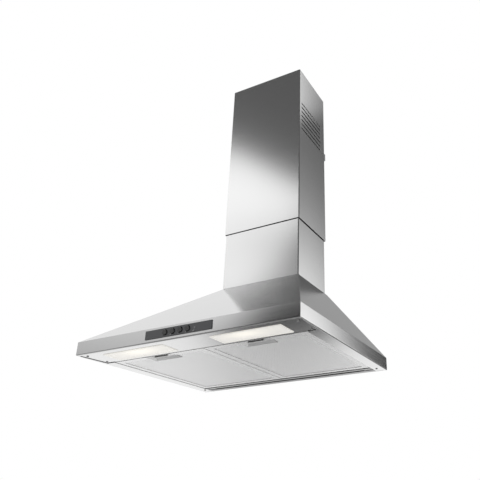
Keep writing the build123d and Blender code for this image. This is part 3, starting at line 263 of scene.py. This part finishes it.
# Moulded and enamelled pieces: shade, roughness, share of the speck's height, coat and nodes.
mouldedPieces = {
    "whiteEnamel": (0.8, 0.35, 0.0, 0.0, ("lamp_box_left", "lamp_box_right")),
    "ceramicHolder": (
        (0.8, 0.79, 0.75), 0.4, 1.0, 0.0, ("lampholder_left", "lampholder_right"),
    ),
    "blackHousing": (0.025, 0.5, 1.0, 0.0, (
        "blower_housing_left", "blower_housing_right", "impeller", "outlet_adapter",
        "flap_front", "flap_back", "inlet_guard", "vent_shields",
    )),
    "paleTerminal": ((0.6, 0.59, 0.55), 0.5, 1.0, 0.0, (
        "terminal_box", "terminal_lid", "cable_gland", "chimney_guides",
    )),
    "capacitorCase": (0.7, 0.35, 0.0, 0.0, ("capacitor",)),
    "blackSwitch": (0.02, 0.5, 1.0, 0.0, ("switch_block",)),
    "blackButton": (0.028, 0.28, 0.0, 0.3, (
        "push_button_1", "push_button_2", "push_button_3", "push_button_4",
    )),
    "greyLatch": (0.07, 0.45, 1.0, 0.0, ("filter_latch_left", "filter_latch_right")),
    "fasciaStrip": ((0.078, 0.08, 0.085), 0.3, 0.0, 0.2, ("control_fascia",)),
}


def plainPlastic(name, shade, roughness, speckShare=1.0, coat=0.0):
    material, finish = newFinish(name)
    speck = finish.noise(plastic["speckScale"])
    cloud = finish.noise(plastic["cloudScale"])
    spread, roughSpread = plastic["shadeSpread"], plastic["roughnessSpread"]
    edges = finish.roundedEdges(plastic["edgeRadius"])
    finish.surface(
        baseColour=finish.tint(cloud, scaled(shade, 1 - spread), scaled(shade, 1 + spread)),
        roughness=cloud * (2 * roughSpread) + (roughness - roughSpread),
        normal=finish.bump(speck, plastic["speckHeight"] * speckShare * mm, edges),
        coat=coat,
    )
    return material


for name, (shade, roughness, speckShare, coat, wearers) in mouldedPieces.items():
    dress(plainPlastic(name, shade, roughness, speckShare, coat), *wearers)
print("moulded pieces finished")

metal = {"smearScale": 60.0, "darkShare": 0.92, "roughnessSpread": 0.1, "edgeRadius": 0.2}
# Turned, plated and woven metal: shade, least roughness and nodes.
metalPieces = {
    "platedScrews": (0.3, 0.3, (
        "panel_screws", "rail_screws", "chimney_foot_screws", "chimney_side_screws",
        "housing_screws", "blower_screws", "motor_screws", "guard_screws",
    )),
    "turnedSteel": (0.6, 0.16, ("motor_shaft", "flap_pin")),
    "motorCan": (0.22, 0.35, ("motor",)),
    "meshLayers": (0.75, 0.5, ("filter_mesh_left", "filter_mesh_right")),
}


def brightMetal(name, shade, roughness):
    material, finish = newFinish(name)
    smear = finish.noise(metal["smearScale"])
    finish.surface(
        baseColour=finish.tint(smear, shade * metal["darkShare"], shade),
        metallic=1.0,
        roughness=smear * metal["roughnessSpread"] + roughness,
        normal=finish.roundedEdges(metal["edgeRadius"]),
    )
    return material


for name, (shade, roughness, wearers) in metalPieces.items():
    dress(brightMetal(name, shade, roughness), *wearers)
print("metal pieces finished")

# dim and bright are the cover's base colour away from and over the tube; the paler middle is a
# painted glow.
lampGlow = {
    "left": -148.0, "right": 143.0, "middle": 454.0, "reach": 48.0, "across": 20.0,
    "dim": (0.78, 0.77, 0.73), "bright": (0.85, 0.83, 0.78), "roughness": 0.35,
    "cool": (0.62, 0.6, 0.57), "warm": (1.0, 0.95, 0.84), "strength": 0.55,
    "edgeRadius": 0.5,
}
opalGlass = {"shade": (0.85, 0.84, 0.8), "roughness": 0.25, "speckShare": 0.0}


# The cover glows most over the middle of its tube, and its base colour is painted paler there too:
# a painted glow on top of the lamp's own light.
def lampCover(side):
    material, finish = newFinish(f"lampCover{side}")
    x, y, _ = finish.split(finish.place())
    along = (x - lampGlow[side] * mm) / (lampGlow["reach"] * mm)
    across = (y + lampGlow["middle"] * mm) / (lampGlow["across"] * mm)
    glow = along.bell() * across.bell()
    finish.surface(
        baseColour=finish.tint(glow, lampGlow["dim"], lampGlow["bright"]),
        roughness=lampGlow["roughness"],
        emission=finish.tint(glow, lampGlow["cool"], lampGlow["warm"]),
        emissionStrength=lampGlow["strength"],
        normal=finish.roundedEdges(lampGlow["edgeRadius"]),
    )
    return material


for side in ("left", "right"):
    dress(lampCover(side), f"lamp_cover_{side}")
    dress(plainPlastic(f"opalGlass{side}", **opalGlass), f"bulb_{side}")
print("lamps finished")


def newPiece(name, places, faces, material, body):
    mesh = bpy.data.meshes.new(name)
    mesh.from_pydata(places.tolist(), [], faces.tolist())
    mesh.update()
    piece = bpy.data.objects.new(name, mesh)
    bpy.context.scene.collection.objects.link(piece)
    mesh.materials.append(material)
    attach(piece, body)
    return piece


perforation = {"pitch": 4.5, "hole": 0.7, "pocketSeam": 0.5}


# Places from point to point: each stretch is cut into cells of about the size given, and
# each cell into equal parts.
def evenSteps(points, size, parts=1):
    runs = []
    for first, last in zip(points[:-1], points[1:]):
        steps = parts * round((last - first) / size)
        runs.append(np.linspace(first, last, steps, endpoint=False))
    return np.concatenate([*runs, points[-1:]])


# A sheet of rows of cells, in one block on each side of the latch's pocket and one behind it.
# A cell is pitch wide and pitch * sin(60) high round a six-sided hole with corners at
# middle + hole * (cos(a), sin(a)), a = -150, -90 ... 150 degrees. Every other row is moved on
# by half a cell, and plain half cells fill its ends.
def perforatedFace(side, material):
    low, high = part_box(f"filter_face_{side}")
    pocketLow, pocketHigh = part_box(f"latch_pocket_{side}")
    pitch, seam = perforation["pitch"] * mm, perforation["pocketSeam"] * mm
    sides, end = (pocketLow[0] - seam, pocketHigh[0] + seam), pocketHigh[1] + seam
    along = evenSteps((low[0], *sides, high[0]), pitch, 2)
    up = evenSteps((low[1], end, high[1]), pitch * math.sin(math.pi / 3))
    across, lastColumn, lastRow = len(along), len(along) - 1, len(up) - 1
    pocketLeft, pocketRight = (int(np.abs(along - place).argmin()) for place in sides)
    pocketRow = int(np.abs(up - end).argmin())
    lattice = np.stack([*np.meshgrid(along, up), np.full((len(up), across), low[2])], 2)
    lattice = lattice.reshape(-1, 3)

    cells, halves = [], []
    for rows, first, last in (
        (range(pocketRow), 0, pocketLeft), (range(pocketRow), pocketRight, lastColumn),
        (range(pocketRow, lastRow), 0, lastColumn),
    ):
        row, start = np.meshgrid(rows, np.arange(first, last - 1, 2), indexing="ij")
        start = start + row % 2
        cells.append((row * across + start)[start < last - 1])
        moved = np.array([row * across for row in rows if row % 2])
        halves += [moved + first, moved + last - 1]

    lower, half = np.concatenate(cells), np.concatenate(halves)
    upper, halfUpper = lower + across, half + across
    outline = np.stack([lower, lower + 1, lower + 2, upper + 2, upper + 1, upper], 1)
    turn = np.radians(np.arange(-150, 151, 60))
    ring = np.stack([np.cos(turn), np.sin(turn), 0 * turn], 1) * perforation["hole"] * mm
    middles = (lattice[lower + 1] + lattice[upper + 1]) / 2
    places = np.concatenate([lattice, (middles[:, None] + ring).reshape(-1, 3)])
    hole = np.arange(len(lattice), len(places)).reshape(-1, 6)
    faces = np.concatenate([
        np.stack([hole, np.roll(hole, -1, 1), np.roll(outline, -1, 1), outline], 2).reshape(-1, 4),
        np.stack([halfUpper, halfUpper + 1, half + 1, half], 1),
    ])
    used, faces = np.unique(faces, return_inverse=True)
    face = newPiece(f"perforatedFace.{side}", places[used], faces.reshape(-1, 4), material,
                    f"filter_{side}")
    thick = face.modifiers.new("sheet", "SOLIDIFY")
    thick.thickness, thick.offset = high[2] - low[2], -1.0
    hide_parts(f"filter_face_{side}")


for side in ("left", "right"):
    perforatedFace(side, faceSteel)
print("perforated faces done")


# A profile carried along a path: places holds a row of profile corners for each path point.
# Each row is joined to the next, and the first and last rows are closed.
def carriedFaces(places):
    corner = np.arange(places.shape[0] * places.shape[1]).reshape(places.shape[:2])
    after = np.roll(corner, -1, 1)
    walls = np.stack([corner[:-1], after[:-1], after[1:], corner[1:]], 2).reshape(-1, 4)
    return np.concatenate([corner[:1, ::-1], walls, corner[-1:]])


# A near-black strip in the gap where the upper chimney meets the lower one: painted shadow, a dark
# band that stands in for the shade in that gap.
jointShadowStrip = {
    "halfWidth": 125.5, "front": 184.0, "back": 30.0, "bend": 1.5, "thick": 1.3,
    "low": 425.2, "high": 437.0, "bendSteps": 6, "shade": 0.012, "roughness": 0.9,
}


# The path is straight runs and quarter bends, bend middle + bend * (cos(a), -sin(a)) for
# a = 0 ... 90 degrees, and then the same mirrored. The strip's sides lie at path point +-
# thick / 2 along (cos(a), -sin(a)), from low to high.
def jointShadow():
    wide, bend = jointShadowStrip["halfWidth"], jointShadowStrip["bend"]
    turn = np.radians(np.linspace(0, 90, jointShadowStrip["bendSteps"] + 1))
    x = np.append(wide, wide - bend + bend * np.cos(turn))
    y = np.append(-jointShadowStrip["back"], bend - jointShadowStrip["front"] - bend * np.sin(turn))
    a = np.append(0.0, turn)
    x, y, a = np.append(x, -x[::-1]), np.append(y, y[::-1]), np.append(a, math.pi - a[::-1])
    outX, outY = (part * jointShadowStrip["thick"] / 2 for part in (np.cos(a), -np.sin(a)))
    low, high = np.full_like(a, jointShadowStrip["low"]), np.full_like(a, jointShadowStrip["high"])
    places = np.stack([
        np.stack([x + outX, x + outX, x - outX, x - outX], 1),
        np.stack([y + outY, y + outY, y - outY, y - outY], 1),
        np.stack([low, high, high, low], 1),
    ], 2)
    # Near-black and matt, so that the strip reads as the shade in the gap: painted shadow.
    shadowMaterial = plainPlastic("paintedJointShadow", jointShadowStrip["shade"], jointShadowStrip["roughness"])
    newPiece("jointShadow", places.reshape(-1, 3) * mm, carriedFaces(places), shadowMaterial,
             "chimney_top")


jointShadow()
print("joint seal done")

# A ring's bar is its foot above the ring's middle, its width and its height.
marks = {
    "front": 502.4, "raised": 0.06, "ringSteps": 12, "shade": 0.75, "roughness": 0.5,
    "lamp": {"middle": (-18.3, 11.0), "outer": 1.2, "inner": 0.7, "turn": (-50.0, 230.0),
             "bar": (-1.5, 1.0, 0.45)},
    "power": {"middle": (45.9, 17.3), "outer": 1.3, "inner": 0.85, "turn": (120.0, 420.0),
              "bar": (0.2, 0.45, 1.3)},
    "speeds": ((2.6, 11.0), (22.1, 11.0), (42.5, 11.0)),
    "barWidth": 0.55, "barGap": 0.95, "barFoot": -1.2, "barHeight": 1.4, "barGrowth": 0.5,
}


# Small printed marks: a lamp, one to three bars for the speeds, and a power ring. A stroke is
# a flat strip between two lines, from front to front + raised, and a ring's lines are
# middle + radius * (cos(a), sin(a)).
def fasciaMarks():
    strokes = []

    def stroke(right, left):
        raised = marks["front"] + marks["raised"]
        corners = ((right, raised), (right, marks["front"]), (left, marks["front"]), (left, raised))
        strokes.append(np.stack([
            np.stack([line[:, 0], np.full(len(line), -depth), line[:, 1]], 1)
            for line, depth in corners
        ], 1))

    def bar(x, foot, width, height):
        left, right, top = x - width / 2, x + width / 2, foot + height
        stroke(np.array([(right, foot), (right, top)]), np.array([(left, foot), (left, top)]))

    def ring(mark):
        turn = np.radians(np.linspace(*mark["turn"], marks["ringSteps"] + 1))
        ray = np.stack([np.cos(turn), np.sin(turn)], 1)
        stroke(*(mark["middle"] + ray * mark[edge] for edge in ("outer", "inner")))
        foot, width, height = mark["bar"]
        bar(mark["middle"][0], mark["middle"][1] + foot, width, height)

    ring(marks["lamp"])
    for number, (x, z) in enumerate(marks["speeds"], 1):
        for spot in range(number):
            aside = (spot - (number - 1) / 2) * marks["barGap"]
            height = marks["barHeight"] + marks["barGrowth"] * spot
            bar(x + aside, z + marks["barFoot"], marks["barWidth"], height)
    ring(marks["power"])

    places = np.concatenate([shape.reshape(-1, 3) for shape in strokes])
    starts = np.cumsum([0] + [4 * len(shape) for shape in strokes[:-1]])
    faces = [start + carriedFaces(shape) for start, shape in zip(starts, strokes)]
    pale = plainPlastic("paleMark", marks["shade"], marks["roughness"], 0.0)
    newPiece("fasciaMarks", places * mm, np.concatenate(faces), pale, "hood")


fasciaMarks()
print("marks done")

# The studio is a glow by direction, in degrees: azimuth 0 is the front and 90 the right side,
# height is above the horizon, and a lean moves an edge with the height. Each function below
# gives one part of that glow.
ambient = {
    "glow": 0.137, "dimStart": -35.0, "dimFull": -32.0, "dimFade": 160.0, "dimEnd": 170.0,
    "dimTop": 19.0, "dimOver": 23.0,
}


# A faint glow from everywhere but low on the right.
def ambientGlow(azimuth, height):
    dim = azimuth.step(ambient["dimStart"], ambient["dimFull"])
    dim = dim * (1 - azimuth.step(ambient["dimFade"], ambient["dimEnd"]))
    dim = dim * (1 - height.step(ambient["dimTop"], ambient["dimOver"]))
    return (1 - dim) * ambient["glow"]


frontBox = {
    "glow": 1.35, "top": 35.7, "topDrop": 0.396, "topFrom": -36.0, "topSoft": 1.0,
    "right": -34.0, "rightLean": 0.69, "level": 19.0, "rightSoft": 1.9,
    "leftEnd": -100.0, "leftFull": -60.0, "lowShare": 0.13, "lowStart": 4.4, "lowEnd": 32.0,
}


# A large box on the left of the front, which fades downwards.
def frontGlow(azimuth, height):
    box = frontBox
    top = box["top"] - (azimuth - box["topFrom"]).atLeast(0.0) * box["topDrop"] - height
    right = (height - box["level"]) * box["rightLean"] + box["right"] - azimuth
    lit = top.step(-box["topSoft"], box["topSoft"])
    lit = lit * right.step(-box["rightSoft"], box["rightSoft"])
    fade = height.step(box["lowStart"], box["lowEnd"]) * (1 - box["lowShare"]) + box["lowShare"]
    return lit * fade * azimuth.step(box["leftEnd"], box["leftFull"]) * box["glow"]


# Soft cards and flags round the front box: amount, azimuth, height, half width and half height.
frontCards = (
    (0.35, -35.3, 21.6, 3.5, 1.9), (0.4, -28.5, 22.4, 3.5, 1.8),
    (-0.85, -28.6, 18.6, 3.0, 2.0), (-0.26, -31.5, 27.2, 5.5, 2.2),
)


def cardGlow(azimuth, height):
    return sum(
        amount * ((azimuth - middle) / wide).bell() * ((height - level) / tall).bell()
        for amount, middle, level, wide, tall in frontCards
    )


rearBox = {
    "glow": 1.72, "edge": 155.7, "edgeLean": -0.143, "level": 18.0, "edgeSoft": 3.4,
    "start": 138.0, "full": 143.0, "lowest": 2.0, "low": 7.0, "middle": 11.8, "fall": 15.1,
    "topGlow": 1.23, "topStart": 38.5, "topEnd": 40.0,
}


# A narrow box behind on the right, brightest low down and again at its top.
def rearGlow(azimuth, height):
    box = rearBox
    edge = (height - box["level"]) * box["edgeLean"] + box["edge"] - azimuth
    lit = edge.step(-box["edgeSoft"], box["edgeSoft"]) * azimuth.step(box["start"], box["full"])
    lit = lit * height.step(box["lowest"], box["low"])
    fade = ((height - box["middle"]).atLeast(0.0) / box["fall"]).bell() * box["glow"]
    return lit * (fade + height.step(box["topStart"], box["topEnd"]) * box["topGlow"])


rearWall = {
    "leftGlow": 0.777, "rightGlow": 0.236, "start": 60.0, "full": 100.0,
    "turnStart": 148.0, "turnEnd": 158.0, "low": -5.0, "high": 15.0,
}


# A pale wall on the left and a dim one behind, both above the horizon.
def wallGlow(leftward, height):
    above = height.step(rearWall["low"], rearWall["high"])
    turned = leftward.step(rearWall["turnStart"], rearWall["turnEnd"])
    left = leftward.step(rearWall["start"], rearWall["full"]) * (1 - turned) * above
    return left * rearWall["leftGlow"] + turned * above * rearWall["rightGlow"]


below = {
    "glow": 0.982, "rest": 0.18, "low": -8.0, "high": 2.0,
    "start": 52.0, "full": 72.0, "fade": 163.0, "end": 169.0,
    "flag": 3.0, "azimuth": -150.0, "height": -19.2, "across": 6.0, "rise": 3.0, "lean": -0.27,
}


# What lies below the horizon on the left is pale, with one dark flag.
def belowGlow(azimuth, leftward, height):
    level = height - below["height"]
    across = level * below["lean"] + azimuth - below["azimuth"]
    flag = (across / below["across"]).bell() * (level / below["rise"]).bell()
    behind = leftward.step(below["start"], below["full"])
    behind = behind * (1 - leftward.step(below["fade"], below["end"]))
    pale = (below["glow"] - flag * below["flag"]) * (behind * (1 - below["rest"]) + below["rest"])
    return (1 - height.step(below["low"], below["high"])) * pale


sideWall = {
    "glow": 0.7, "start": -14.0, "full": 4.0, "fade": 118.0, "end": 136.0,
    "top": 15.0, "over": 21.0,
}


# A wall on the right, up to a little above the horizon.
def sideGlow(azimuth, height):
    side = azimuth.step(sideWall["start"], sideWall["full"])
    side = side * (1 - azimuth.step(sideWall["fade"], sideWall["end"])) * sideWall["glow"]
    return side * (1 - height.step(sideWall["top"], sideWall["over"]))


# Everything above together, and plain white where the camera looks past the hood.
def studioWorld():
    world = bpy.data.worlds.new("studio")
    bpy.context.scene.world = world
    world.use_nodes = True
    finish = Finish(world.node_tree)
    x, y, z = finish.split(finish.node("ShaderNodeTexCoord", output="Generated"))
    azimuth = x.maths("ARCTAN2", x, -y) * degrees
    height = z.maths("ARCSINE", z) * degrees
    leftward = -azimuth
    glow = frontGlow(azimuth, height) + ambientGlow(azimuth, height)
    glow = glow + cardGlow(azimuth, height) + rearGlow(azimuth, height)
    glow = glow + wallGlow(leftward, height) + belowGlow(azimuth, leftward, height)
    glow = glow + sideGlow(azimuth, height)
    camera = finish.node("ShaderNodeLightPath", output="Is Camera Ray")
    strength = glow.atLeast(0.0) * (1 - camera) + camera
    background = finish.node(
        "ShaderNodeBackground", inputs={"Color": grey(1.0), "Strength": strength}
    )
    finish.node("ShaderNodeOutputWorld", inputs={"Surface": background})


floorPlate = {
    "radius": 2300.0, "height": -1300.0, "corners": 96, "shade": 0.85, "glow": 0.7,
    "clothDepth": 1.4, "leastGlow": 0.18,
}
# Dark cloths on the floor, seen only in reflections: x, y, half width and half depth.
floorCloths = ((-700.0, -1300.0, 700.0, 2000.0), (300.0, 1900.0, 500.0, 500.0))


# A disc with corners at radius * (cos(a), sin(a)).
def studioFloor():
    radius, height = floorPlate["radius"] * mm, floorPlate["height"] * mm
    turn = np.linspace(0, 2 * np.pi, floorPlate["corners"], endpoint=False)
    rim = np.stack([radius * np.cos(turn), radius * np.sin(turn), np.full_like(turn, height)], 1)
    mesh = bpy.data.meshes.new("studioFloor")
    mesh.from_pydata(rim.tolist(), [], [list(range(len(turn)))])
    floor = bpy.data.objects.new("studioFloor", mesh)
    bpy.context.scene.collection.objects.link(floor)
    material, finish = newFinish("paleFloor")
    outputs = finish.node("ShaderNodeLightPath").socket.node.outputs
    camera, glossy, through = (
        Wire(finish, outputs[f"Is {kind} Ray"]) for kind in ("Camera", "Glossy", "Transmission")
    )
    x, y, _ = finish.split(finish.place())
    shade = 0.0
    for clothX, clothY, wide, deep in floorCloths:
        across, along = (x - clothX * mm) / (wide * mm), (y - clothY * mm) / (deep * mm)
        shade = across.bell() * along.bell() + shade
    covered = shade * (1 - camera) * floorPlate["clothDepth"]
    lit = (1 - covered).atLeast(floorPlate["leastGlow"])
    seen = (camera + glossy + through).atMost(1.0) * floorPlate["glow"]
    matt = finish.node("ShaderNodeBsdfDiffuse", inputs={"Color": grey(floorPlate["shade"])})
    white = finish.node("ShaderNodeEmission", inputs={"Color": grey(1.0), "Strength": lit})
    both = finish.node("ShaderNodeMixShader", inputs={0: seen, 1: matt, 2: white})
    finish.node("ShaderNodeOutputMaterial", inputs={"Surface": both})
    mesh.materials.append(material)


keyLight = {
    "place": (-1200.0, -2400.0, 2200.0), "target": (0.0, -200.0, 300.0), "size": 1600.0,
    "power": 25.0,
}


def softLight():
    lamp = bpy.data.lights.new("keyLight", "AREA")
    lamp.shape = "DISK"
    lamp.size = keyLight["size"] * mm
    lamp.energy = keyLight["power"]
    light = bpy.data.objects.new("keyLight", lamp)
    bpy.context.scene.collection.objects.link(light)
    place, target = np.array(keyLight["place"]) * mm, np.array(keyLight["target"]) * mm
    light.location = place
    x, y, z = target - place
    light.rotation_euler = (math.atan2(math.hypot(x, y), -z), 0.0, math.atan2(-x, y))
    light.visible_glossy = False


studioWorld()
studioFloor()
softLight()
print("studio done")

# The middle is the lens axis in the picture, and angles are in degrees.
camera = {
    "place": (777.16, -1398.16, -347.24), "azimuth": -24.625, "height": 24.138,
    "roll": -1.1325, "focalPixels": 548.52, "middle": (330.0, 266.0), "picture": 480.0,
    "sensor": 36.0, "nearest": 50.0, "furthest": 50000.0,
}


def placeCamera():
    lens = bpy.data.cameras.new("photoCamera")
    eye = bpy.data.objects.new("photoCamera", lens)
    bpy.context.scene.collection.objects.link(eye)
    picture, half = camera["picture"], camera["picture"] / 2
    lens.sensor_width = camera["sensor"]
    lens.lens = camera["focalPixels"] / picture * camera["sensor"]
    lens.shift_x = (half - camera["middle"][0]) / picture
    lens.shift_y = (camera["middle"][1] - half) / picture
    lens.clip_start, lens.clip_end = camera["nearest"] * mm, camera["furthest"] * mm
    azimuth, height, roll = (math.radians(camera[part]) for part in ("azimuth", "height", "roll"))
    level = math.cos(height)
    ahead = np.array([math.sin(azimuth) * level, math.cos(azimuth) * level, math.sin(height)])
    across = np.array([math.cos(azimuth), -math.sin(azimuth), 0.0])
    up = np.cross(across, ahead)
    rolledAcross = math.cos(roll) * across + math.sin(roll) * up
    rolledUp = math.cos(roll) * up - math.sin(roll) * across
    turn = np.stack([rolledAcross, rolledUp, -ahead], 1)
    rows = [[*turn[axis], camera["place"][axis] * mm] for axis in range(3)]
    eye.matrix_world = Matrix([*rows, [0.0, 0.0, 0.0, 1.0]])
    bpy.context.scene.camera = eye


placeCamera()
bpy.context.scene.view_settings.view_transform = "Standard"
print("camera done")
